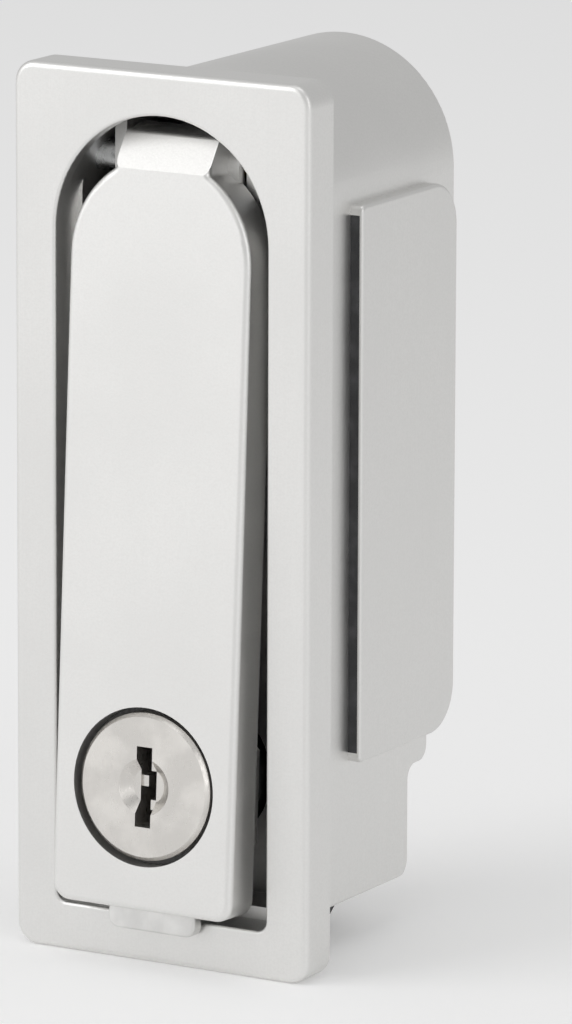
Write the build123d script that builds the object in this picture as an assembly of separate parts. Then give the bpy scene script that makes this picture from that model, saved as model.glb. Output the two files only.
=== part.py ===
from build123d import *
import math
import os

# Flush paddle latch, millimetres. +X is right, +Z is up and +Y points into the panel.
# The origin lies on the seat plane behind the bezel, at the middle of the bezel's height.

# Bezel
bezel_width = 40.0
bezel_height = 106.5
bezel_thickness = 5.4
bezel_corner = 2.7
bezel_edge_round = 0.8

# Housing behind the bezel
housing_width = 30.5
wall = 1.75
arch_centre = 37.2          # height of the arched top's centre
deep_depth = 37.9           # rear of the upper part, behind the seat
middle_depth = 31.6
shallow_depth = 27.0
deep_bottom = -26.0
middle_bottom = -34.0
housing_bottom = -47.6
step_round = 1.8
bottom_round = 2.2
rear_round = 0.7

# Recess in the bezel
recess_width = 28.7
recess_arch_centre = 33.75
recess_bottom = -47.4
recess_corner = 1.3
recess_rim_round = 0.4
recess_floor = 0.6          # bezel left behind the recess's widest stretch
lip = 2.0                   # bezel in front of the relief over the neck

# Keeper web across the housing, behind the lock
web_depth = 5.5
web_thickness = 2.0
web_top = 28.0

# Rear cover
cover_thickness = 1.5
cover_rim = 1.0
seat_gap = 0.1              # gap around pieces that drop into a rebate

# Screws
screw_radius = 1.25
screw_head_radius = 2.4
boss_radius = 2.2
boss_length = 6.5
screw_grip = 4.5            # thread of the cover screws in their bosses
cover_screw_rise = 6.8      # upper screws above the arch's centre
cover_screw_offset = 9.6
cover_screw_low = -21.4
cover_screw_low_offset = 10.9

# Side plates
plate_thickness = 1.7
plate_front = 12.4
plate_rear = 35.4
plate_top = 36.5
plate_bottom = -30.5
plate_corner = 5.5
plate_front_corner = 0.8
plate_edge_round = 0.45
strip_width = 1.25
strip_depth = 2.2
strip_margin = 1.2
plate_screw_inset = 14.0

# Paddle and its hinge
pivot_depth = 3.5
pivot_height = 41.5
tilt = 3.22                 # the closed paddle leans out towards its lower end
lift_angle = 35.0
paddle_width = 24.4
paddle_face = 8.68          # from the hinge axis to the paddle's face
paddle_length = 87.85       # from the hinge axis to the paddle's lower end
paddle_shoulder = 0.6       # flat top of the face below the hinge axis
paddle_arch = 10.8          # arch centre below the hinge axis
paddle_corner = 2.2
paddle_edge_round = 0.8
paddle_skirt_depth = 5.3
paddle_skin = 2.0
paddle_skirt = 1.5
rib_width = 1.4
neck_width = 12.6
neck_rise = 3.9
neck_setback = 2.58
neck_round = 0.8
hub_radius = 4.2
hub_width = 15.6
pin_radius = 2.0
bush_wall = 0.9
bush_flange = 0.5
running = 0.05              # radial clearance of running fits
cheek_gap = 0.3
cheek_thickness = 1.6
lug_front = 0.6             # behind the seat

# Rear arm, rocker and link
arm_length = 10.5
arm_width = 6.0
arm_end_radius = 2.8
drive_pin_radius = 1.5
rocker_gap = 0.4
rocker_cheek = 1.8
rocker_boss_radius = 3.4
fork_wall = 1.6
fork_clearance = 0.2
fork_end = 2.0
link_arm = 9.0
link_thickness = 2.5
link_bar = 4.2
link_head_wall = 1.3
bracket_gap = 0.5
bracket_sheet = 1.2

# Slam bolt
bolt_width = 19.0
bolt_depth = 8.0
bolt_front = 12.5
bolt_tip = -53.0
bolt_head_height = 5.0
bolt_head_overhang = 1.4
bolt_bevel = 4.4
guide_top = -41.0

# Springs
spring_wire = 0.7
bolt_spring_radius = 2.6
bolt_spring_turns = 7
bolt_spring_offset = 5.5
spring_pocket = 2.0
seat_height = -22.5
seat_sheet = 1.5
seat_front = 12.4

# Lock
lock_drop = 73.0            # lock axis below the hinge axis, along the paddle
lock_bore = 9.5
barrel_gap = 0.05
barrel_head_depth = 2.3
barrel_radius = 8.05
barrel_head_end = 4.7
barrel_rear = 8.2
boss_half_width = 10.9
boss_up = 9.6
boss_down = 11.6
boss_chamfer = 5.0
boss_rear = 0.5
disc_radius = 8.8
disc_bevel = 0.45
disc_setback = 0.1
core_radius = 6.5
dimple_radius = 3.4
dimple_depth = 1.2
key_slot_width = 2.1
key_slot_height = 9.6
key_slot_depth = 13.0
cam_length = 11.5
cam_width = 7.0
cam_thickness = 1.6
cam_square = 5.0
cam_air = 0.15
clip_width = 2.4
clip_thickness = 0.9

# Pull tab
tab_width = 11.8
tab_thickness = 1.6
tab_pad = 0.7
tab_reach = 3.0             # below the paddle's lower end
tab_top = 8.5               # above the paddle's lower end
tab_corner = 1.3
tab_clear = 0.9             # left between the lock bore and the tab
tab_rivet_radius = 0.9
tab_rivet_head = 1.55
tab_rivet_offset = 4.3
tab_rivet_rise = 3.75       # above the paddle's lower end
bolt_rivet_radius = 1.1

half_bezel = bezel_width / 2
half_housing = housing_width / 2
half_cavity = half_housing - wall
cavity_bottom = housing_bottom + wall
cover_front = deep_depth - cover_thickness
swing = math.radians(lift_angle / 2)

# The arm and the rocker start as far above level as they end below it, so that both turn alike.
arm_reach = arm_length * math.cos(swing)
arm_rise = arm_length * math.sin(swing)
rocker_depth = pivot_depth + 2 * arm_reach
link_reach = link_arm * math.cos(swing)
link_drop = link_arm * math.sin(swing)
bolt_stroke = 2 * link_drop
drive_at = (pivot_depth + arm_reach, pivot_height + arm_rise)
rocker_at = (rocker_depth, pivot_height)
link_at = (rocker_depth + link_reach, pivot_height - link_drop)


def block(x, y, z):
    """Box between two limits on each axis."""
    middle = [(low + high) / 2 for low, high in (x, y, z)]
    sides = [high - low for low, high in (x, y, z)]
    return Pos(*middle) * Box(*sides)


def rod(radius, x, at):
    """Cylinder along X between two limits, centred on (y, z)."""
    return Pos((x[0] + x[1]) / 2, *at) * Rot(0, 90, 0) * Cylinder(radius, x[1] - x[0])


def stud(radius, y, at):
    """Cylinder along Y between two limits, centred on (x, z)."""
    return Pos(at[0], (y[0] + y[1]) / 2, at[1]) * Rot(90, 0, 0) * Cylinder(radius, y[1] - y[0])


def side_plate_of(outline, x):
    """Extrudes a (y, z) outline between two limits on X."""
    return extrude(Plane.YZ.offset(x[0]) * outline, x[1] - x[0])


def front_plate_of(outline, y):
    """Extrudes an (x, z) outline between two limits on Y."""
    return extrude(Plane.XZ.offset(-y[1]) * outline, y[1] - y[0])


def both_sides(shape):
    return [shape, mirror(shape, about=Plane.YZ)]


def fused(first, *others):
    for other in others:
        first = first + other
    return first


def rounded_outline(corners):
    """Face through (u, v, radius) corners."""
    face = make_face(Polyline(*[(u, v) for u, v, _ in corners], close=True))
    for u, v, radius in corners:
        if radius:
            face = fillet(face.vertices().sort_by_distance((u, v, 0))[0], radius)
    return face


def arched_outline(half_width, centre, bottom, corner):
    """Upright outline with a round top and small lower corners."""
    slab = Pos(0, (centre + bottom) / 2) * Rectangle(2 * half_width, centre - bottom)
    outline = slab + Pos(0, centre) * Circle(half_width)
    return fillet(outline.vertices().group_by(Axis.Y)[0], corner)


def on_paddle(shape):
    """Places a shape drawn around the hinge axis, face forward, at the closed paddle's lean."""
    return Pos(0, pivot_depth, pivot_height) * Rot(-tilt, 0, 0) * shape


def on_lock(shape):
    """Places a shape drawn around the lock axis."""
    return on_paddle(Pos(0, 0, -lock_drop) * shape)


def bar_between(a, b, radius_a, radius_b):
    """Outline of a lever with round ends."""
    ends = (Pos(*a) * Circle(radius_a)).edges() + (Pos(*b) * Circle(radius_b)).edges()
    return make_hull(ends)


# ---------------------------------------------------------------- body

def housing_side(inset, rear):
    """Side outline of the housing, or of its cavity with the wall as inset."""
    top = arch_centre + half_housing + 1
    convex = max(step_round - inset, 0.3)
    return rounded_outline([
        (-bezel_thickness, top, 0),
        (rear, top, 0),
        (rear, deep_bottom + inset, 0 if inset else step_round),
        (middle_depth - inset, deep_bottom + inset, step_round),
        (middle_depth - inset, middle_bottom + inset, convex),
        (shallow_depth - inset, middle_bottom + inset, step_round),
        (shallow_depth - inset, housing_bottom + inset, max(bottom_round - inset, 0.3)),
        (-bezel_thickness, housing_bottom + inset, 0),
    ])


def screw_places():
    upper = arch_centre + cover_screw_rise
    return [(side * x, z) for side in (1, -1)
            for x, z in ((cover_screw_offset, upper), (cover_screw_low_offset, cover_screw_low))]


def plate_screw_heights():
    return [plate_top - plate_screw_inset, plate_bottom + plate_screw_inset]


plate_middle = (plate_front + plate_rear) / 2


def housing_shell():
    outer = front_plate_of(arched_outline(half_housing, arch_centre, housing_bottom, 0.6),
                           (-1, deep_depth))
    outer = fillet(outer.faces().sort_by(Axis.Y)[-1].edges(), rear_round)
    outer &= side_plate_of(housing_side(0, deep_depth), (-half_housing, half_housing))
    bezel = front_plate_of(RectangleRounded(bezel_width, bezel_height, bezel_corner),
                           (-bezel_thickness, 0))
    bezel = fillet(bezel.faces().sort_by(Axis.Y)[0].edges(), bezel_edge_round)
    return bezel + outer


def cavity():
    inner = front_plate_of(arched_outline(half_cavity, arch_centre, cavity_bottom, 0.5),
                           (lip - bezel_thickness, deep_depth + 1))
    inner &= side_plate_of(housing_side(wall, deep_depth + 1), (-half_cavity, half_cavity))
    recess = front_plate_of(
        arched_outline(recess_width / 2, recess_arch_centre, recess_bottom, recess_corner),
        (-bezel_thickness - 1, -recess_floor))
    return inner + recess


def cover_outline(inset):
    return arched_outline(half_housing - cover_rim - inset, arch_centre,
                          deep_bottom + cover_rim + inset, 1.0)


def keeper_web():
    web_rear = web_depth + web_thickness
    web = block((-half_cavity - 0.5, half_cavity + 0.5), (web_depth, web_rear),
                (cavity_bottom - 0.5, web_top))
    hole = stud(barrel_radius + 0.65, (-20, 20), (0, 0))
    slot = block((-cam_width / 2 - 0.7, cam_width / 2 + 0.7), (-20, 20), (0, cam_length + 1.0))
    return web - on_lock(hole + slot)


def bolt_guide():
    """Block round the bolt's opening that the bolt slides in."""
    web_rear = web_depth + web_thickness
    return block((-half_cavity - 0.5, half_cavity + 0.5), (web_rear - 0.2, shallow_depth - wall + 0.5),
                 (cavity_bottom - 0.5, guide_top))


def bolt_section(gap):
    outline = Pos(0, bolt_front + bolt_depth / 2) * RectangleRounded(
        bolt_width + 2 * gap, bolt_depth + 2 * gap, 1.0)
    return outline


def pivot_cheeks():
    """Lugs that carry the hinge pin on both sides of the hub."""
    inner = hub_width / 2 + cheek_gap
    ceiling = arch_centre + half_housing - wall
    lug = block((inner, inner + cheek_thickness), (lug_front, pivot_depth + hub_radius),
                (pivot_height - hub_radius - 1, ceiling))
    lug = fillet(lug.edges().filter_by(Axis.X).group_by(Axis.Z)[0], 1.0)
    limit = front_plate_of(arched_outline(half_cavity + 0.5, arch_centre, 0, 0.5), (-1, 20))
    return both_sides(lug & limit)


def seat_ribs():
    """Ribs that hold the spring seat down."""
    rib = block((half_cavity - 1.2, half_cavity + 0.5), (web_depth + web_thickness, middle_depth - wall),
                (seat_height, seat_height + 2.0))
    return both_sides(rib)


def body_casting():
    body = housing_shell() - cavity()
    rebate = front_plate_of(cover_outline(0), (cover_front, deep_depth + 1))
    body = body - rebate
    limit = front_plate_of(arched_outline(half_housing - 0.5, arch_centre, housing_bottom + 0.5, 0.5),
                           (-1, cover_front))
    for x, z in screw_places():
        boss = stud(boss_radius, (cover_front - boss_length, cover_front), (x, z)) & limit
        body = body + boss
    body = fused(body, keeper_web(), bolt_guide(), *pivot_cheeks(), *seat_ribs())
    for x, z in screw_places():
        body = body - stud(screw_radius, (cover_front - screw_grip - 0.5, cover_front + 1), (x, z))
    body = body - extrude(Plane.XY.offset(housing_bottom - 1) * bolt_section(running),
                          guide_top - housing_bottom + 2)
    body = body - rod(pin_radius, (-half_housing, half_housing), (pivot_depth, pivot_height))
    for z in plate_screw_heights():
        body = body - rod(screw_radius, (-half_housing - 1, half_housing + 1), (plate_middle, z))
    return body


def rim_rounded(body):
    """Softens the front edge of the recess."""
    front = body.faces().sort_by(Axis.Y)[0]
    rim = front.inner_wires()[0].edges()
    return fillet(rim, recess_rim_round)


def rear_cover():
    cover = front_plate_of(cover_outline(seat_gap), (cover_front, deep_depth))
    for x, z in screw_places() + bracket_screw_places():
        cover = cover - stud(screw_radius, (cover_front - 1, deep_depth + 1), (x, z))
        cover = cover - countersink((x, z))
    return cover


def countersink(at):
    """Cone for a flat screw head, open to the rear."""
    depth = screw_head_radius - screw_radius
    cone = Cone(screw_radius, screw_head_radius, depth)
    return Pos(at[0], deep_depth - depth / 2, at[1]) * Rot(-90, 0, 0) * cone


def flat_screw(at, length):
    depth = screw_head_radius - screw_radius
    shank = stud(screw_radius, (deep_depth - length, deep_depth - depth / 2), at)
    slot = block((at[0] - 0.35, at[0] + 0.35), (deep_depth - 0.6, deep_depth + 1),
                 (at[1] - 3, at[1] + 3))
    return shank + countersink(at) - slot


def cover_screws():
    return Compound([flat_screw(at, cover_thickness + screw_grip) for at in screw_places()])


# ---------------------------------------------------------------- side plates

def side_plate():
    outline = rounded_outline([
        (plate_front, plate_bottom, plate_front_corner), (plate_rear, plate_bottom, plate_corner),
        (plate_rear, plate_top, plate_corner), (plate_front, plate_top, plate_front_corner)])
    plate = side_plate_of(outline, (half_housing, half_housing + plate_thickness))
    plate = fillet(plate.faces().sort_by(Axis.X)[-1].edges(), plate_edge_round)
    plate = plate - strip_block()
    for z in plate_screw_heights():
        plate = plate - rod(screw_radius, (half_housing - 1, half_housing + 1.2), (plate_middle, z))
    return plate


def strip_block():
    return block((half_housing, half_housing + strip_width), (plate_front, plate_front + strip_depth),
                 (plate_bottom + strip_margin, plate_top - strip_margin))


def side_plate_screws():
    screws = []
    for z in plate_screw_heights():
        at = (plate_middle, z)
        head = rod(screw_head_radius, (half_cavity - 1.3, half_cavity), at)
        head = fillet(head.faces().sort_by(Axis.X)[0].edges(), 0.5)
        screw = head + rod(screw_radius, (half_cavity - 0.2, half_housing + 1.2), at)
        slot = block((half_cavity - 2, half_cavity - 0.7), (at[0] - 3, at[0] + 3), (z - 0.35, z + 0.35))
        screws += both_sides(screw - slot)
    return Compound(screws)


# ---------------------------------------------------------------- paddle

def paddle_outline():
    """Arched plate with a stem that runs up into the neck."""
    outline = arched_outline(paddle_width / 2, -paddle_arch, -paddle_length, paddle_corner)
    outline = outline + Rectangle(neck_width, 2 * hub_radius + 4)
    meeting = paddle_width / 2 - neck_width / 2
    corners = [v for v in outline.vertices() if abs(abs(v.X) - neck_width / 2) < 0.01
               and abs(v.Y) < meeting]
    return fillet(corners, 0.5)


def paddle_shell():
    rear = -paddle_face + paddle_skirt_depth
    shell = front_plate_of(paddle_outline(), (-paddle_face, rear))
    shell = fillet(shell.faces().sort_by(Axis.Y)[0].edges(), paddle_edge_round)
    inset = paddle_width / 2 - paddle_skirt
    hollow = arched_outline(inset, -paddle_arch, -paddle_length + paddle_skirt, 0.7)
    hollow = hollow - Pos(0, 10 - neck_root()) * Rectangle(40, 20)
    return shell - front_plate_of(hollow, (-paddle_face + paddle_skin, rear + 1))


def neck_root():
    """Where the neck's back meets the hollow, below the hinge axis."""
    return hub_radius + 2.8


def paddle_ribs():
    """Three long ribs behind the skin, from the neck to the lock boss."""
    top, bottom = -paddle_arch, -lock_drop + boss_up
    rear = -paddle_face + paddle_skirt_depth - 1.0
    front = -paddle_face + paddle_skin - 0.2
    spread = paddle_width / 4 - rib_width
    return [block((x - rib_width / 2, x + rib_width / 2), (front, rear), (bottom - 1, top + 4))
            for x in (-spread, 0, spread)]


def neck_filling():
    """Joins the stem to the hinge hub."""
    inner = -paddle_face + paddle_skirt_depth - 0.5
    profile = make_face(Polyline((inner, hub_radius + 2), (0, hub_radius + 2), (0, -hub_radius),
                                 (inner, -neck_root()), close=True))
    return side_plate_of(profile, (-neck_width / 2, neck_width / 2))


def neck_slope():
    """What is cut away above the face so that the neck leans back to the hub."""
    front = -paddle_face
    profile = rounded_outline([
        (front - 2, -paddle_shoulder - 2 * neck_rise / neck_setback, 0),
        (front + neck_setback, neck_rise, neck_round),
        (0, hub_radius - 0.15, 0), (0, 20, 0), (front - 2, 20, 0)])
    return side_plate_of(profile, (-neck_width, neck_width))


def hub():
    return rod(hub_radius, (-hub_width / 2, hub_width / 2), (0, 0))


def lock_boss():
    """Eight-sided boss round the lock bore, behind the skin."""
    half, cut = boss_half_width, boss_chamfer
    corners = [(half - cut, -boss_down), (half, -boss_down + cut), (half, boss_up - cut),
               (half - cut, boss_up), (-half + cut, boss_up), (-half, boss_up - cut),
               (-half, -boss_down + cut), (-half + cut, -boss_down)]
    outline = make_face(Polyline(*corners, close=True))
    boss = front_plate_of(outline, (-paddle_face + paddle_skin - 0.2, -boss_rear))
    return Pos(0, 0, -lock_drop) * boss


def lock_holes():
    front = -paddle_face
    wide = stud(lock_bore, (front - 1, -barrel_head_end), (0, 0))
    narrow = stud(barrel_radius + barrel_gap, (front, 5), (0, 0))
    return Pos(0, 0, -lock_drop) * (wide + narrow)


def tab_outline(gap, low):
    """Tab cut round the lock bore, from low upwards, with a gap at its sides."""
    high = -paddle_length + tab_top
    outline = Pos(0, (low + high) / 2) * Rectangle(tab_width + 2 * gap, high - low)
    return outline - Pos(0, -lock_drop) * Circle(lock_bore + tab_clear - gap)


def tab_front():
    return -paddle_face + paddle_skin + tab_pad


def tab_pad_plate():
    """Pad behind the skin that the tab lies on."""
    outline = tab_outline(0, -paddle_length + paddle_skirt / 2)
    return front_plate_of(outline, (-paddle_face + paddle_skin - 0.2, tab_front()))


def tab_notch():
    return front_plate_of(tab_outline(seat_gap, -paddle_length - 1), (tab_front(), tab_front() + 20))


def tab_rivet_places():
    return [(side * tab_rivet_offset, -paddle_length + tab_rivet_rise) for side in (1, -1)]


def rear_arm():
    """Arm that carries the drive pin, drawn at its place in the latch."""
    hinge = (pivot_depth, pivot_height)
    outline = bar_between(hinge, drive_at, hub_radius - 0.4, arm_end_radius)
    return side_plate_of(outline, (-arm_width / 2, arm_width / 2))


def bush_radius():
    return pin_radius + running + bush_wall


def paddle():
    body = paddle_shell() + neck_filling() - neck_slope()
    body = fused(body, hub(), *paddle_ribs(), lock_boss(), tab_pad_plate())
    body = body - lock_holes() - tab_notch()
    for at in tab_rivet_places():
        body = body - stud(tab_rivet_radius, (tab_rivet_front(), 0), at)
    body = on_paddle(body) + rear_arm()
    body = body - rod(bush_radius(), (-hub_width, hub_width), (pivot_depth, pivot_height))
    return body - rod(drive_pin_radius, (-arm_width, arm_width), drive_at)


def pivot_bushes():
    """Two flanged bushes, pressed into the hub's ends."""
    at = (pivot_depth, pivot_height)
    end = hub_width / 2
    bush = rod(bush_radius(), (arm_width / 2, end), at)
    bush = bush - rod(pin_radius + running, (0, end + 1), at)
    return Compound(both_sides(bush))


def tab_rivet_front():
    """Blind end of the rivets, inside the paddle's skin."""
    return -paddle_face + paddle_skin - 0.8


def pull_tab():
    front, low = tab_front(), -paddle_length - tab_reach
    outline = tab_outline(0, low)
    outline = fillet(outline.vertices().group_by(Axis.Y)[0], tab_corner)
    tab = front_plate_of(outline, (front, front + tab_thickness))
    tab = fillet(tab.faces().sort_by(Axis.Y)[0].edges().group_by(Axis.Z)[0], 0.35)
    for at in tab_rivet_places():
        tab = tab - stud(tab_rivet_radius, (front - 1, front + 5), at)
    return on_paddle(tab)


def tab_rivets():
    rear = tab_front() + tab_thickness
    rivets = []
    for at in tab_rivet_places():
        head = stud(tab_rivet_head, (rear, rear + 0.8), at)
        head = fillet(head.faces().sort_by(Axis.Y)[-1].edges(), 0.45)
        shank = stud(tab_rivet_radius, (tab_rivet_front(), rear + 0.2), at)
        rivets.append(on_paddle(head + shank))
    return Compound(rivets)


def drive_pin():
    reach = arm_width / 2 + rocker_gap + rocker_cheek + 0.2
    pin = rod(drive_pin_radius, (-reach, reach), drive_at)
    return chamfer(pin.edges().filter_by(GeomType.CIRCLE), 0.3)


def pivot_pin():
    end = half_housing - 0.9
    pin = rod(pin_radius, (-end, end), (pivot_depth, pivot_height))
    return chamfer(pin.edges().filter_by(GeomType.CIRCLE), 0.3)


# ---------------------------------------------------------------- lock

def lock_barrel():
    front = -paddle_face + barrel_head_depth
    head = stud(lock_bore - barrel_gap, (front, -barrel_head_end), (0, 0))
    body = stud(barrel_radius, (-barrel_head_end - 0.5, barrel_rear), (0, 0))
    bore = stud(core_radius, (front - 1, barrel_rear + 1), (0, 0))
    groove = stud(barrel_radius + 1, (-boss_rear, -boss_rear + clip_thickness), (0, 0))
    groove = groove - stud(barrel_radius - 0.5, (-5, 5), (0, 0))
    return on_lock(head + body - bore - groove)


def barrel_clip():
    """Open spring clip in the barrel's groove, behind the boss."""
    y = (-boss_rear, -boss_rear + clip_thickness - 0.05)
    ring = stud(barrel_radius - 0.5 + clip_width, y, (0, 0))
    ring = ring - stud(barrel_radius - 0.5, (-5, 5), (0, 0))
    mouth = block((-5.2, 5.2), (-5, 5), (-20, 0))
    return on_lock(ring - mouth)


def key_slot():
    """Keyway with three wards in its sides."""
    half = key_slot_width / 2
    front = -paddle_face
    slot = block((-half, half), (front - 1, front + key_slot_depth),
                 (-key_slot_height / 2, key_slot_height / 2))
    ward_depth = front + disc_setback + dimple_depth + 0.3
    for side, z, height in ((1, 2.3, 1.1), (-1, 0.5, 1.3), (1, -2.3, 1.2)):
        edge = side * half
        low, high = sorted((edge, edge - side * key_slot_width * 0.42))
        slot = slot - block((low, high), (ward_depth, front + 20), (z - height / 2, z + height / 2))
    return slot


def key_plug():
    front = -paddle_face + disc_setback
    back = -paddle_face + barrel_head_depth - running
    disc = stud(disc_radius, (front, back), (0, 0))
    disc = chamfer(disc.faces().sort_by(Axis.Y)[0].edges(), disc_bevel)
    core = stud(core_radius - running, (back - 0.5, barrel_rear), (0, 0))
    square = block((-cam_square / 2, cam_square / 2), (barrel_rear - 0.5, tail_end()),
                   (-cam_square / 2, cam_square / 2))
    dimple = Pos(0, front + dimple_depth / 2, 0) * Rot(-90, 0, 0) * Cone(
        dimple_radius * 0.62, dimple_radius, dimple_depth)
    dimple = mirror(dimple, about=Plane.XZ.offset(-front - dimple_depth / 2))
    thread = stud(screw_radius, (tail_end() - 4.0, tail_end() + 1), (0, 0))
    return on_lock(disc + core + square - dimple - key_slot() - thread)


def tail_end():
    return barrel_rear + cam_air + cam_thickness


def lock_cam():
    """Cam plate, pointing up while the lock is open."""
    y = (barrel_rear + cam_air, tail_end())
    outline = bar_between((0, 0), (0, cam_length - cam_width / 2), cam_width / 2 + 1.0, cam_width / 2)
    cam = front_plate_of(outline, y)
    hole = block((-cam_square / 2, cam_square / 2), (0, 20), (-cam_square / 2, cam_square / 2))
    return on_lock(cam - hole)


def cam_screw():
    rear = tail_end()
    head = stud(3.4, (rear, rear + 1.3), (0, 0))
    head = fillet(head.faces().sort_by(Axis.Y)[-1].edges(), 0.5)
    shank = stud(screw_radius, (rear - 3.6, rear + 0.2), (0, 0))
    cross = block((-0.4, 0.4), (rear + 0.7, rear + 3), (-2, 2)) + block(
        (-2, 2), (rear + 0.7, rear + 3), (-0.4, 0.4))
    return on_lock(head + shank - cross)


# ---------------------------------------------------------------- rocker and link

def rocker_inner():
    return arm_width / 2 + rocker_gap


def rocker_outer():
    return rocker_inner() + rocker_cheek


def rocker_cheek_outline():
    lever = bar_between(rocker_at, link_at, rocker_boss_radius + 0.6, drive_pin_radius + link_head_wall)
    reach = arm_length + fork_end
    slot_half = drive_pin_radius + fork_clearance
    tine = slot_half + fork_wall
    start = 2 * arm_reach - arm_length - drive_pin_radius - fork_clearance
    fork = Pos(-reach / 2, 0) * Rectangle(reach, 2 * tine)
    fork = fillet(fork.vertices().group_by(Axis.X)[0], fork_wall * 0.6)
    slot = Pos(-start - slot_half, 0) * Circle(slot_half)
    slot = slot + Pos(-start - slot_half - reach / 2, 0) * Rectangle(reach, 2 * slot_half)
    half_swing = lift_angle / 2
    fork = Pos(*rocker_at) * Rot(0, 0, -half_swing) * (fork - slot)
    return lever + fork


def rocker():
    cheek = side_plate_of(rocker_cheek_outline(), (rocker_inner(), rocker_outer()))
    body = fused(rod(rocker_boss_radius, (-rocker_outer(), rocker_outer()), rocker_at),
                 *both_sides(cheek))
    body = body - rod(pin_radius + running, (-20, 20), rocker_at)
    return body - rod(drive_pin_radius, (-20, 20), link_at)


def link_pin():
    pin = rod(drive_pin_radius, (-rocker_outer(), rocker_outer()), link_at)
    return chamfer(pin.edges().filter_by(GeomType.CIRCLE), 0.3)


def bracket_inner():
    return rocker_outer() + bracket_gap


def bracket_outer():
    return bracket_inner() + bracket_sheet


def rocker_pin():
    pin = rod(pin_radius, (-bracket_outer(), bracket_outer()), rocker_at)
    return chamfer(pin.edges().filter_by(GeomType.CIRCLE), 0.3)


def bracket_screw_places():
    x = bracket_outer() + screw_radius + 0.5
    return [(side * x, pivot_height - 3.4) for side in (1, -1)]


def rocker_bracket():
    """Folded bracket: two cheeks, a bridge over the rocker and two feet on the cover."""
    nose = 3.6
    low, high = pivot_height - 5.0, pivot_height + 5.1
    bridge_top = high + bracket_sheet
    front, bridge_rear = rocker_depth - nose, rocker_depth + nose
    outline = rounded_outline([
        (front, low, nose - 0.4), (cover_front, low, 0), (cover_front, high - 2, 0),
        (bridge_rear + 2, high - 2, 0), (bridge_rear, bridge_top, 0), (front, bridge_top, 0)])
    cheek = side_plate_of(outline, (bracket_inner(), bracket_outer()))
    foot_x, foot_z = bracket_screw_places()[0]
    foot = block((bracket_inner(), foot_x + screw_head_radius - 0.4), (cover_front - 1.5, cover_front),
                 (low, foot_z + screw_head_radius - 0.4))
    bridge = block((-bracket_outer(), bracket_outer()), (front, bridge_rear), (high, bridge_top))
    body = fused(bridge, *both_sides(cheek), *both_sides(foot))
    body = body - rod(pin_radius, (-20, 20), rocker_at)
    for at in bracket_screw_places():
        body = body - stud(screw_radius, (cover_front - 5, deep_depth), at)
    return body


def bracket_screws():
    return Compound([flat_screw(at, cover_thickness + 2.4) for at in bracket_screw_places()])


def bolt_link():
    """Flat link, joggled forward from the deep housing to the bolt."""
    travel = link_arm - link_reach
    slot_at = (link_at[0] + travel / 2, link_at[1])
    slot_half = drive_pin_radius + travel / 2 + fork_clearance
    slot_rise = drive_pin_radius + running + 0.05
    head_half = slot_half + link_head_wall
    head_rise = slot_rise + link_head_wall
    bolt_middle = bolt_front + bolt_depth / 2
    top, bend, low_bend = slot_at[1] - head_rise, -6.0, seat_height - 1.5
    half = link_bar / 2
    foot = bolt_foot()
    outline = rounded_outline([
        (slot_at[0] - head_half, slot_at[1] + head_rise, 1.2),
        (slot_at[0] + head_half, slot_at[1] + head_rise, 1.2),
        (slot_at[0] + head_half, top, 0.8),
        (slot_at[0] + half, top - 1.5, 0.8),
        (slot_at[0] + half, bend, 3.0),
        (bolt_middle + half, low_bend - 1.0, 3.0),
        (bolt_middle + half, foot, 0.6),
        (bolt_middle - half, foot, 0.6),
        (bolt_middle - half, low_bend + 1.0, 3.0),
        (slot_at[0] - half, bend + 2.0, 3.0),
        (slot_at[0] - half, top - 1.5, 0.8),
        (slot_at[0] - head_half, top, 0.8),
    ])
    slot = Pos(*slot_at) * RectangleRounded(2 * slot_half, 2 * slot_rise, slot_rise * 0.98)
    link = side_plate_of(outline - slot, (-link_thickness / 2, link_thickness / 2))
    for at in bolt_rivet_places():
        link = link - rod(bolt_rivet_radius, (-10, 10), at)
    return link


# ---------------------------------------------------------------- bolt

def bolt_foot():
    return guide_top - 5.0


def bolt_rivet_places():
    middle = bolt_front + bolt_depth / 2
    return [(middle, guide_top + 1.6), (middle, guide_top - 3.0)]


def slam_bolt():
    head_top = guide_top + bolt_head_height
    body = extrude(Plane.XY.offset(bolt_tip) * bolt_section(0), head_top - bolt_tip)
    rear = bolt_front + bolt_depth
    bevel = side_plate_of(make_face(Polyline(
        (rear - bolt_bevel, bolt_tip - 0.1), (rear + 1, bolt_tip - 0.1),
        (rear + 1, bolt_tip + bolt_bevel * 0.9), (rear, bolt_tip + bolt_bevel * 0.75), close=True)),
        (-bolt_width, bolt_width))
    body = body - bevel
    over = bolt_head_overhang
    head = block((-bolt_width / 2 - over, bolt_width / 2 + over), (bolt_front - 0.3, rear + over),
                 (guide_top + running, head_top))
    head = fillet(head.edges().filter_by(Axis.Z), 1.0)
    body = body + head
    middle = bolt_front + bolt_depth / 2
    half_slot = link_thickness / 2 + 0.02
    body = body - block((-half_slot, half_slot), (middle - link_bar / 2 - 0.02, middle + link_bar / 2 + 0.02),
                        (bolt_foot() - 0.02, head_top + 1))
    for side in (1, -1):
        pocket = Pos(side * bolt_spring_offset, middle, head_top - spring_pocket / 2 + 0.5)
        body = body - pocket * Cylinder(bolt_spring_radius + spring_wire / 2 + 0.25, spring_pocket + 1)
    for at in bolt_rivet_places():
        body = body - rod(bolt_rivet_radius, (-bolt_width, bolt_width), at)
    return body


def bolt_rivets():
    reach = bolt_width / 2 - 0.3
    return Compound([rod(bolt_rivet_radius, (-reach, reach), at) for at in bolt_rivet_places()])


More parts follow.
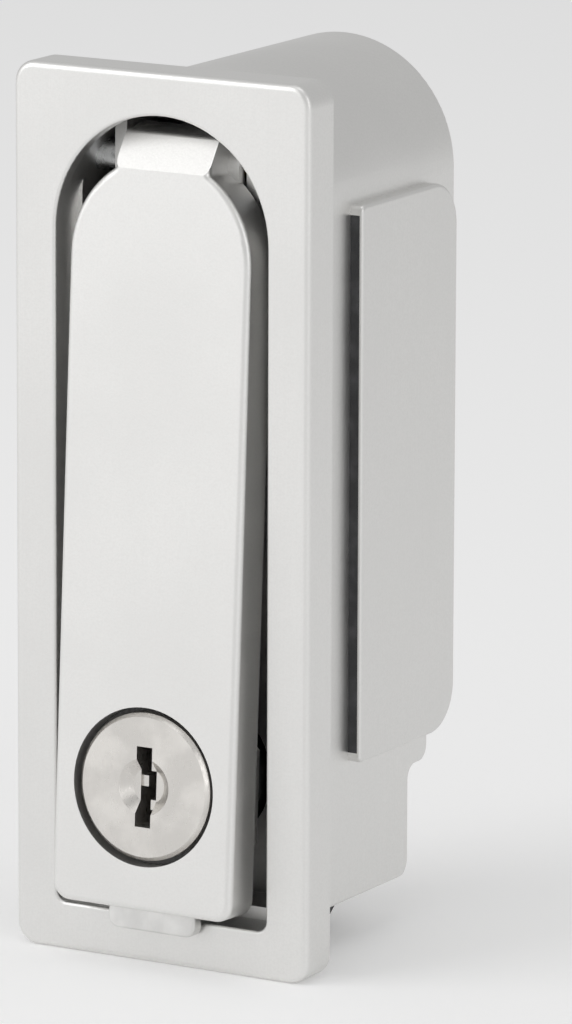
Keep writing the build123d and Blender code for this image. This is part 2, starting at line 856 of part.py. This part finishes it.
def spring_seat():
    """Pressed plate under the ribs, slotted for the link."""
    edge = half_cavity - 0.1
    y = (seat_front, middle_depth - wall - 0.8)
    seat = block((-edge, edge), y, (seat_height - seat_sheet, seat_height))
    seat = fillet(seat.edges().filter_by(Axis.Z), 1.0)
    middle = bolt_front + bolt_depth / 2
    slot = block((-link_thickness / 2 - 0.4, link_thickness / 2 + 0.4),
                 (middle - link_bar / 2 - 0.6, middle + link_bar / 2 + 9.0),
                 (seat_height - 5, seat_height + 5))
    return seat - slot


def coil(radius, wire, pitch, turns):
    """Coil of round wire up the Z axis, from height zero."""
    path = Helix(pitch, pitch * turns, radius)
    section = Plane(path @ 0, z_dir=path % 0) * Circle(wire / 2)
    return sweep(section, path)


def bolt_springs():
    low = guide_top + bolt_head_height - spring_pocket + spring_wire / 2 + 0.05
    high = seat_height - seat_sheet - spring_wire / 2 - 0.05
    middle = bolt_front + bolt_depth / 2
    spring = coil(bolt_spring_radius, spring_wire, (high - low) / bolt_spring_turns, bolt_spring_turns)
    return Compound([Pos(side * bolt_spring_offset, middle, low) * spring for side in (1, -1)])


def write(name, shape):
    export_step(shape, f"parts/{name}.step")


def main():
    os.makedirs("parts", exist_ok=True)
    write("body_casting", rim_rounded(body_casting()))
    write("rear_cover", rear_cover())
    write("cover_screws", cover_screws())
    right = side_plate()
    write("side_plate_right", right)
    write("side_plate_left", mirror(right, about=Plane.YZ))
    write("edge_strip_right", strip_block())
    write("edge_strip_left", mirror(strip_block(), about=Plane.YZ))
    write("side_plate_screws", side_plate_screws())
    write("pivot_pin", pivot_pin())
    write("rocker_bracket", rocker_bracket())
    write("bracket_screws", bracket_screws())
    write("rocker_pin", rocker_pin())
    write("spring_seat", spring_seat())
    write("bolt_springs", bolt_springs())
    write("paddle", paddle())
    write("pivot_bushes", pivot_bushes())
    write("pull_tab", pull_tab())
    write("tab_rivets", tab_rivets())
    write("drive_pin", drive_pin())
    write("lock_barrel", lock_barrel())
    write("barrel_clip", barrel_clip())
    write("key_plug", key_plug())
    write("lock_cam", lock_cam())
    write("cam_screw", cam_screw())
    write("rocker", rocker())
    write("link_pin", link_pin())
    write("bolt_link", bolt_link())
    write("slam_bolt", slam_bolt())
    write("bolt_rivets", bolt_rivets())


if __name__ == "__main__":
    main()
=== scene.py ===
import math

import bmesh
import bpy
from bpy.props import FloatProperty, FloatVectorProperty, PointerProperty
from mathutils import Matrix, Vector


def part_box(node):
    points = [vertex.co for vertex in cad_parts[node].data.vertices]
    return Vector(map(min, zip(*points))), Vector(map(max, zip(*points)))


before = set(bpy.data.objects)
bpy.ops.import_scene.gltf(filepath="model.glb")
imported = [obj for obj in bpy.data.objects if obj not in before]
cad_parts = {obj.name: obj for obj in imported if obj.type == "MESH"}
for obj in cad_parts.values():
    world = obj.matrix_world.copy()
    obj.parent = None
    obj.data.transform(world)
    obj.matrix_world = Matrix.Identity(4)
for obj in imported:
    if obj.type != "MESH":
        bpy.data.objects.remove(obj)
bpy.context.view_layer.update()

bl_info = {
    "name": "Flush Paddle Latch Dresser",
    "version": (1, 0, 0),
    "blender": (4, 5, 0),
    "location": "View3D > Sidebar > Paddle Latch",
    "description": "Finishes and fine pieces for a flush key-locking paddle latch",
    "category": "Object",
}

MM = 0.001
FLOOR_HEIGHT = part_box("body_casting")[0].z
FLOOR_HALF = 6.0
FLOOR_CELLS = 8
FLOOR_GLOW = 0.16             # the floor's own light, for the camera and reflections only
WHITE = (1.0, 1.0, 1.0, 1.0)

CAMERA_AIM = Vector((10.33, 6.11, 0.43)) * MM
CAMERA_AZIMUTH, CAMERA_ELEVATION, CAMERA_ROLL = 30.024, 12.053, 0.2
SENSOR_WIDTH = 36.0
CLIP_NEAR, CLIP_FAR = 0.05, 20.0

# name, azimuth, elevation, distance, width, height and brightness
LAMPS = (
    ("key_lamp", -42, 28, 1.2, 0.9, 0.9, 1.7),
    ("side_lamp", 62, 20, 1.3, 0.35, 0.9, 1.6),
    ("top_lamp", 20, 80, 1.3, 0.7, 0.7, 0.9),
)

BRASS = (0.55, 0.40, 0.18)
RIVET_STEEL = (0.6, 0.6, 0.61)
# Near-black barrel colour: painted shade for the dark ring gap round the key plug, where the barrel
# shows.
BARREL_PAINTED_SHADE = (0.10, 0.10, 0.10)
CLIP_STEEL = (0.35, 0.36, 0.38)
CAM_PLATING = (0.62, 0.63, 0.62)
SCREW_ZINC = (0.62, 0.64, 0.66)
SPRING_STEEL = (0.32, 0.33, 0.35)
PRESSED_ZINC = (0.58, 0.6, 0.62)
ROCKER_ZINC = (0.56, 0.58, 0.6)
PIN_STEEL = (0.56, 0.57, 0.58)


# ------------------------------------------------------------------ finishes

class Finish:
    """A Principled material with the few procedural nodes this latch needs."""

    def __init__(self, name, colour, metallic, roughness):
        self.material = bpy.data.materials.new(name)
        self.material.use_nodes = True
        self.tree = self.material.node_tree
        self.tree.nodes.clear()
        output = self.tree.nodes.new("ShaderNodeOutputMaterial")
        self.shader = self.tree.nodes.new("ShaderNodeBsdfPrincipled")
        self.tree.links.new(self.shader.outputs["BSDF"], output.inputs["Surface"])
        self.shader.inputs["Base Color"].default_value = (*colour, 1.0)
        self.shader.inputs["Metallic"].default_value = metallic
        self.shader.inputs["Roughness"].default_value = roughness
        self.place = self.tree.nodes.new("ShaderNodeTexCoord").outputs["Object"]

    def node(self, kind, inputs=(), **settings):
        made = self.tree.nodes.new(kind)
        for name, value in settings.items():
            setattr(made, name, value)
        for name, value in dict(inputs).items():
            self.put(made.inputs[name], value)
        return made

    def put(self, socket, value):
        if isinstance(value, bpy.types.NodeSocket):
            self.tree.links.new(value, socket)
        else:
            socket.default_value = value

    def stretched(self, scale):
        """Object coordinates scaled on each axis."""
        return self.node("ShaderNodeMapping", {"Vector": self.place, "Scale": scale}).outputs[0]

    def noise(self, size, detail=2.0, stretch=(1.0, 1.0, 1.0), rough=0.5):
        """Noise with features about size metres across, where stretch is 1."""
        made = self.node("ShaderNodeTexNoise", {
            "Vector": self.stretched(stretch), "Scale": 1.0 / size, "Detail": detail,
            "Roughness": rough})
        return made.outputs["Fac"]

    def number(self, operation, a, b):
        made = self.node("ShaderNodeMath", operation=operation)
        self.put(made.inputs[0], a)
        self.put(made.inputs[1], b)
        return made.outputs[0]

    def span(self, value, low, high, out_low=0.0, out_high=1.0):
        """Carries a value from one range to another, smoothly at both ends."""
        made = self.node("ShaderNodeMapRange", interpolation_type="SMOOTHSTEP")
        for name, number in (("Value", value), ("From Min", low), ("From Max", high),
                             ("To Min", out_low), ("To Max", out_high)):
            self.put(made.inputs[name], number)
        return made.outputs["Result"]

    def mixed(self, factor, a, b, blend="MIX"):
        made = self.node("ShaderNodeMix", data_type="RGBA", blend_type=blend)
        self.put(made.inputs[0], factor)
        for socket, value in ((made.inputs[6], a), (made.inputs[7], b)):
            self.put(socket, (*value, 1.0) if isinstance(value, tuple) else value)
        return made.outputs[2]

    def colour(self, value):
        self.put(self.shader.inputs["Base Color"], value)

    def roughness(self, value):
        self.put(self.shader.inputs["Roughness"], value)

    def relief(self, *layers):
        """Bump from (height, depth in metres) layers, one over the other."""
        normal = None
        for height, depth in layers:
            bump = self.node("ShaderNodeBump", {"Height": height, "Distance": depth,
                                                "Strength": 1.0})
            if normal is not None:
                self.put(bump.inputs["Normal"], normal)
            normal = bump.outputs["Normal"]
        self.put(self.shader.inputs["Normal"], normal)


def shade(colour, factor):
    return tuple(channel * factor for channel in colour)


def satin_steel(name, colour, roughness, brushing=1.0):
    """Bead-blasted stainless steel with soft clouding and a faint upright grain."""
    finish = Finish(name, colour, 1.0, roughness)
    clouds = finish.noise(0.018, detail=3.0)
    grain = finish.noise(0.00028, detail=2.0, rough=0.6)
    strokes = finish.noise(0.00016, detail=3.0, stretch=(1.0, 1.0, 0.016))
    tint = finish.mixed(finish.span(clouds, 0.3, 0.7), shade(colour, 0.965), colour)
    tint = finish.mixed(finish.span(grain, 0.3, 0.75, 0.0, 0.5), tint, shade(colour, 0.93))
    tint = finish.mixed(finish.span(strokes, 0.35, 0.75, 0.0, 0.25 * brushing), tint,
                        shade(colour, 0.93))
    finish.colour(tint)
    rough = finish.span(clouds, 0.25, 0.75, roughness - 0.03, roughness + 0.03)
    rough = finish.number("ADD", rough, finish.span(grain, 0.3, 0.7, -0.02, 0.03))
    finish.roughness(rough)
    finish.relief((strokes, 0.000004 * brushing), (grain, 0.000012))
    return finish


def plain_metal(name, colour, roughness, scratch=0.0003):
    """Turned, drawn or plated metal with fine scratches and slight stains."""
    finish = Finish(name, colour, 1.0, roughness)
    stains = finish.noise(0.004, detail=3.0)
    scratches = finish.noise(scratch, detail=4.0, stretch=(1.0, 1.0, 0.12))
    finish.colour(finish.mixed(finish.span(stains, 0.35, 0.7), shade(colour, 0.86), colour))
    finish.roughness(finish.span(scratches, 0.3, 0.7, roughness - 0.06, roughness + 0.08))
    finish.relief((scratches, 0.000005))
    return finish


# Near-black strip finish with rubber-like bloom and pores; its darkness is painted shade along the
# side plates' front edges, which lie in the flange's shade.
def painted_shade_strip(name, colour):
    finish = Finish(name, colour, 0.0, 0.75)
    bloom = finish.noise(0.003, detail=4.0)
    pores = finish.noise(0.0002, detail=2.0)
    finish.colour(finish.mixed(finish.span(bloom, 0.4, 0.8), colour, shade(colour, 1.8)))
    finish.roughness(finish.span(pores, 0.3, 0.7, 0.62, 0.85))
    finish.relief((pores, 0.00002))
    finish.shader.inputs["Specular IOR Level"].default_value = 0.3
    return finish


def black_nylon(name, colour):
    """Glass-filled nylon: matt, with fine fibres and rubbed patches."""
    finish = Finish(name, colour, 0.0, 0.5)
    fibres = finish.noise(0.00012, detail=3.0, stretch=(1.0, 1.0, 0.2))
    rubbed = finish.noise(0.002, detail=4.0)
    finish.colour(finish.mixed(finish.span(rubbed, 0.5, 0.8), colour, shade(colour, 1.7)))
    finish.roughness(finish.span(fibres, 0.3, 0.7, 0.42, 0.6))
    finish.relief((fibres, 0.00001))
    return finish


def dress(finish, *nodes):
    """Gives CAD nodes a finish."""
    for name in nodes:
        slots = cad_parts[name].data.materials
        if len(slots):
            for index in range(len(slots)):
                slots[index] = finish.material
        else:
            slots.append(finish.material)


def settings():
    return bpy.context.scene.paddle_latch


# ------------------------------------------------------------------ settings

class PaddleLatchSettings(bpy.types.PropertyGroup):
    cast_colour: FloatVectorProperty(
        name="Cast steel", description="Colour of the blasted housing and bezel",
        subtype="COLOR", size=3, min=0.0, max=1.0, default=(0.84, 0.835, 0.82))
    cast_roughness: FloatProperty(
        name="Cast roughness", description="Roughness of the blasted steel",
        subtype="FACTOR", min=0.1, max=1.0, default=0.42)
    paddle_colour: FloatVectorProperty(
        name="Paddle steel", description="Colour of the paddle",
        subtype="COLOR", size=3, min=0.0, max=1.0, default=(0.86, 0.855, 0.84))
    nickel_colour: FloatVectorProperty(
        name="Lock nickel", description="Colour of the key cylinder's face",
        subtype="COLOR", size=3, min=0.0, max=1.0, default=(0.80, 0.775, 0.74))
    # Near-black strip colour: painted shade on the side plates' front edges, behind the flange.
    strip_shade_colour: FloatVectorProperty(
        name="Rubber", description="Colour of the side plates' strips",
        subtype="COLOR", size=3, min=0.0, max=1.0, default=(0.05, 0.05, 0.052))
    nylon_colour: FloatVectorProperty(
        name="Bolt nylon", description="Colour of the slam bolt",
        subtype="COLOR", size=3, min=0.0, max=1.0, default=(0.03, 0.03, 0.032))


class LatchStageSettings(bpy.types.PropertyGroup):
    floor_colour: FloatVectorProperty(
        name="Floor", description="Colour of the floor",
        subtype="COLOR", size=3, min=0.0, max=1.0, default=(0.88, 0.88, 0.88))
    world_strength: FloatProperty(
        name="World", description="Strength of the even surrounding light",
        min=0.0, max=4.0, default=0.55)
    camera_distance: FloatProperty(
        name="Camera distance", description="From the camera to what it looks at",
        unit="LENGTH", min=0.1, default=0.93877)
    camera_lens: FloatProperty(
        name="Lens", description="Focal length for a sensor 36 mm on its long side",
        unit="CAMERA", min=10.0, max=600.0, default=281.25)


# ------------------------------------------------------------------ pieces

class LATCH_OT_casting(bpy.types.Operator):
    """Finish the bezel and housing casting"""
    bl_idname = "paddle_latch.casting"
    bl_label = "Casting"

    def execute(self, context):
        chosen = settings()
        dress(satin_steel("cast_steel", tuple(chosen.cast_colour), chosen.cast_roughness),
              "body_casting")
        return {"FINISHED"}


class LATCH_OT_paddle(bpy.types.Operator):
    """Finish the paddle, its bushes and its pull tab"""
    bl_idname = "paddle_latch.paddle"
    bl_label = "Paddle"

    def execute(self, context):
        chosen = settings()
        colour = tuple(chosen.paddle_colour)
        dress(satin_steel("paddle_steel", colour, chosen.cast_roughness, brushing=0.6), "paddle")
        dress(plain_metal("tab_steel", shade(colour, 0.97), 0.4), "pull_tab")
        dress(plain_metal("turned_brass", BRASS, 0.3), "pivot_bushes")
        dress(plain_metal("rivet_steel", RIVET_STEEL, 0.35), "tab_rivets", "bolt_rivets")
        return {"FINISHED"}


class LATCH_OT_key_lock(bpy.types.Operator):
    """Finish the key cylinder"""
    bl_idname = "paddle_latch.key_lock"
    bl_label = "Key cylinder"

    def execute(self, context):
        nickel = tuple(settings().nickel_colour)
        dress(plain_metal("lock_nickel", nickel, 0.32, scratch=0.0002), "key_plug")
        # The barrel is near black: painted shade in the ring gap round the key plug.
        dress(plain_metal("barrel_zinc", BARREL_PAINTED_SHADE, 0.5), "lock_barrel")
        dress(plain_metal("clip_steel", CLIP_STEEL, 0.4), "barrel_clip")
        dress(plain_metal("cam_plate", CAM_PLATING, 0.38), "lock_cam", "cam_screw")
        return {"FINISHED"}


class LATCH_OT_side_plates(bpy.types.Operator):
    """Finish the side plates, their strips and screws"""
    bl_idname = "paddle_latch.side_plates"
    bl_label = "Side plates"

    def execute(self, context):
        chosen = settings()
        dress(satin_steel("plate_steel", shade(tuple(chosen.cast_colour), 0.97),
                          chosen.cast_roughness), "side_plate_right", "side_plate_left")
        # The strips' near-black finish is painted shade along the side plates' front edges.
        dress(painted_shade_strip("strip_painted_shade", tuple(chosen.strip_shade_colour)),
              "edge_strip_right", "edge_strip_left")
        dress(plain_metal("screw_zinc", SCREW_ZINC, 0.34), "side_plate_screws",
              "cover_screws", "bracket_screws")
        return {"FINISHED"}


class LATCH_OT_bolt(bpy.types.Operator):
    """Finish the slam bolt, its link and springs"""
    bl_idname = "paddle_latch.bolt"
    bl_label = "Slam bolt"

    def execute(self, context):
        dress(black_nylon("bolt_nylon", tuple(settings().nylon_colour)), "slam_bolt")
        dress(plain_metal("spring_wire", SPRING_STEEL, 0.3), "bolt_springs")
        dress(plain_metal("pressed_zinc", PRESSED_ZINC, 0.42), "bolt_link", "spring_seat")
        return {"FINISHED"}


class LATCH_OT_linkage(bpy.types.Operator):
    """Finish the rocker, its bracket and the pins"""
    bl_idname = "paddle_latch.linkage"
    bl_label = "Rocker and pins"

    def execute(self, context):
        dress(plain_metal("rocker_zinc", ROCKER_ZINC, 0.4), "rocker", "rocker_bracket")
        dress(plain_metal("pin_steel", PIN_STEEL, 0.22), "pivot_pin", "rocker_pin",
              "drive_pin", "link_pin")
        return {"FINISHED"}


class LATCH_OT_rear_cover(bpy.types.Operator):
    """Finish the rear cover"""
    bl_idname = "paddle_latch.rear_cover"
    bl_label = "Rear cover"

    def execute(self, context):
        chosen = settings()
        dress(satin_steel("cover_sheet", shade(tuple(chosen.cast_colour), 0.95), 0.36,
                          brushing=2.0), "rear_cover")
        return {"FINISHED"}


# ------------------------------------------------------------------ stage

def direction(azimuth, elevation):
    """Unit vector from the latch, azimuth 0 being in front of the bezel."""
    a, e = math.radians(azimuth), math.radians(elevation)
    return Vector((math.sin(a) * math.cos(e), -math.cos(a) * math.cos(e), math.sin(e)))


def soft_lamp(name, azimuth, elevation, distance, width, height, strength):
    """Rectangular lamp whose strength is its own brightness, where 1 is white."""
    data = bpy.data.lights.new(name, "AREA")
    data.shape = "RECTANGLE"
    data.size, data.size_y = width, height
    data.energy = strength * math.pi * width * height
    lamp = bpy.data.objects.new(name, data)
    bpy.context.scene.collection.objects.link(lamp)
    lamp.location = direction(azimuth, elevation) * distance
    lamp.rotation_euler = direction(azimuth, elevation).to_track_quat("Z", "Y").to_euler()


def floor_finish(colour):
    """Pale matt floor that the camera and reflections see a little brighter."""
    finish = Finish("studio_floor", colour, 0.0, 0.9)
    finish.shader.inputs["Specular IOR Level"].default_value = 0.0
    rays = finish.node("ShaderNodeLightPath")
    seen = finish.number("MAXIMUM", rays.outputs["Is Camera Ray"], rays.outputs["Is Glossy Ray"])
    glow = finish.number("MULTIPLY", seen, FLOOR_GLOW)
    finish.shader.inputs["Emission Color"].default_value = WHITE
    finish.put(finish.shader.inputs["Emission Strength"], glow)
    return finish


class LATCH_OT_stage(bpy.types.Operator):
    """Set the floor, the lamps, the world and the camera"""
    bl_idname = "paddle_latch.stage"
    bl_label = "Stage"

    def execute(self, context):
        chosen = context.scene.latch_stage
        mesh = bpy.data.meshes.new("studio_floor")
        work = bmesh.new()
        bmesh.ops.create_grid(work, x_segments=FLOOR_CELLS, y_segments=FLOOR_CELLS, size=FLOOR_HALF)
        bmesh.ops.translate(work, verts=work.verts, vec=(0.0, 0.0, FLOOR_HEIGHT))
        work.to_mesh(mesh)
        work.free()
        floor = bpy.data.objects.new("studio_floor", mesh)
        context.scene.collection.objects.link(floor)
        mesh.materials.append(floor_finish(tuple(chosen.floor_colour)).material)

        world = bpy.data.worlds.new("studio_world")
        context.scene.world = world
        world.use_nodes = True
        light = world.node_tree.nodes["Background"]
        light.inputs["Color"].default_value = WHITE
        light.inputs["Strength"].default_value = chosen.world_strength

        for lamp in LAMPS:
            soft_lamp(*lamp)

        data = bpy.data.cameras.new("catalogue_camera")
        data.lens = chosen.camera_lens
        data.sensor_width = SENSOR_WIDTH
        data.clip_start, data.clip_end = CLIP_NEAR, CLIP_FAR
        camera = bpy.data.objects.new("catalogue_camera", data)
        context.scene.collection.objects.link(camera)
        back = direction(CAMERA_AZIMUTH, CAMERA_ELEVATION)
        camera.location = CAMERA_AIM + back * chosen.camera_distance
        level = back.to_track_quat("Z", "Y")
        camera.rotation_mode = "QUATERNION"
        roll = Matrix.Rotation(math.radians(CAMERA_ROLL), 3, "Z").to_quaternion()
        camera.rotation_quaternion = level @ roll
        context.scene.camera = camera

        context.scene.view_settings.view_transform = "Standard"
        return {"FINISHED"}


# ------------------------------------------------------------------ add-on

class LATCH_PT_panel(bpy.types.Panel):
    """Lists the latch's settings and pieces"""
    bl_label = "Paddle Latch"
    bl_idname = "LATCH_PT_panel"
    bl_space_type = "VIEW_3D"
    bl_region_type = "UI"
    bl_category = "Paddle Latch"

    def draw(self, context):
        column = self.layout.column()
        for group in (context.scene.paddle_latch, context.scene.latch_stage):
            for name in group.__annotations__:
                column.prop(group, name)
        for operator in OPERATORS:
            column.operator(operator.bl_idname)


OPERATORS = (
    LATCH_OT_casting, LATCH_OT_paddle, LATCH_OT_key_lock, LATCH_OT_side_plates, LATCH_OT_bolt,
    LATCH_OT_linkage, LATCH_OT_rear_cover, LATCH_OT_stage,
)
CLASSES = (PaddleLatchSettings, LatchStageSettings, *OPERATORS, LATCH_PT_panel)


def register():
    for kind in CLASSES:
        bpy.utils.register_class(kind)
    bpy.types.Scene.paddle_latch = PointerProperty(type=PaddleLatchSettings)
    bpy.types.Scene.latch_stage = PointerProperty(type=LatchStageSettings)


def unregister():
    del bpy.types.Scene.latch_stage
    del bpy.types.Scene.paddle_latch
    for kind in reversed(CLASSES):
        bpy.utils.unregister_class(kind)


def main():
    register()
    for operator in OPERATORS:
        group, name = operator.bl_idname.split(".")
        getattr(getattr(bpy.ops, group), name)()


if __name__ == "__main__":
    main()
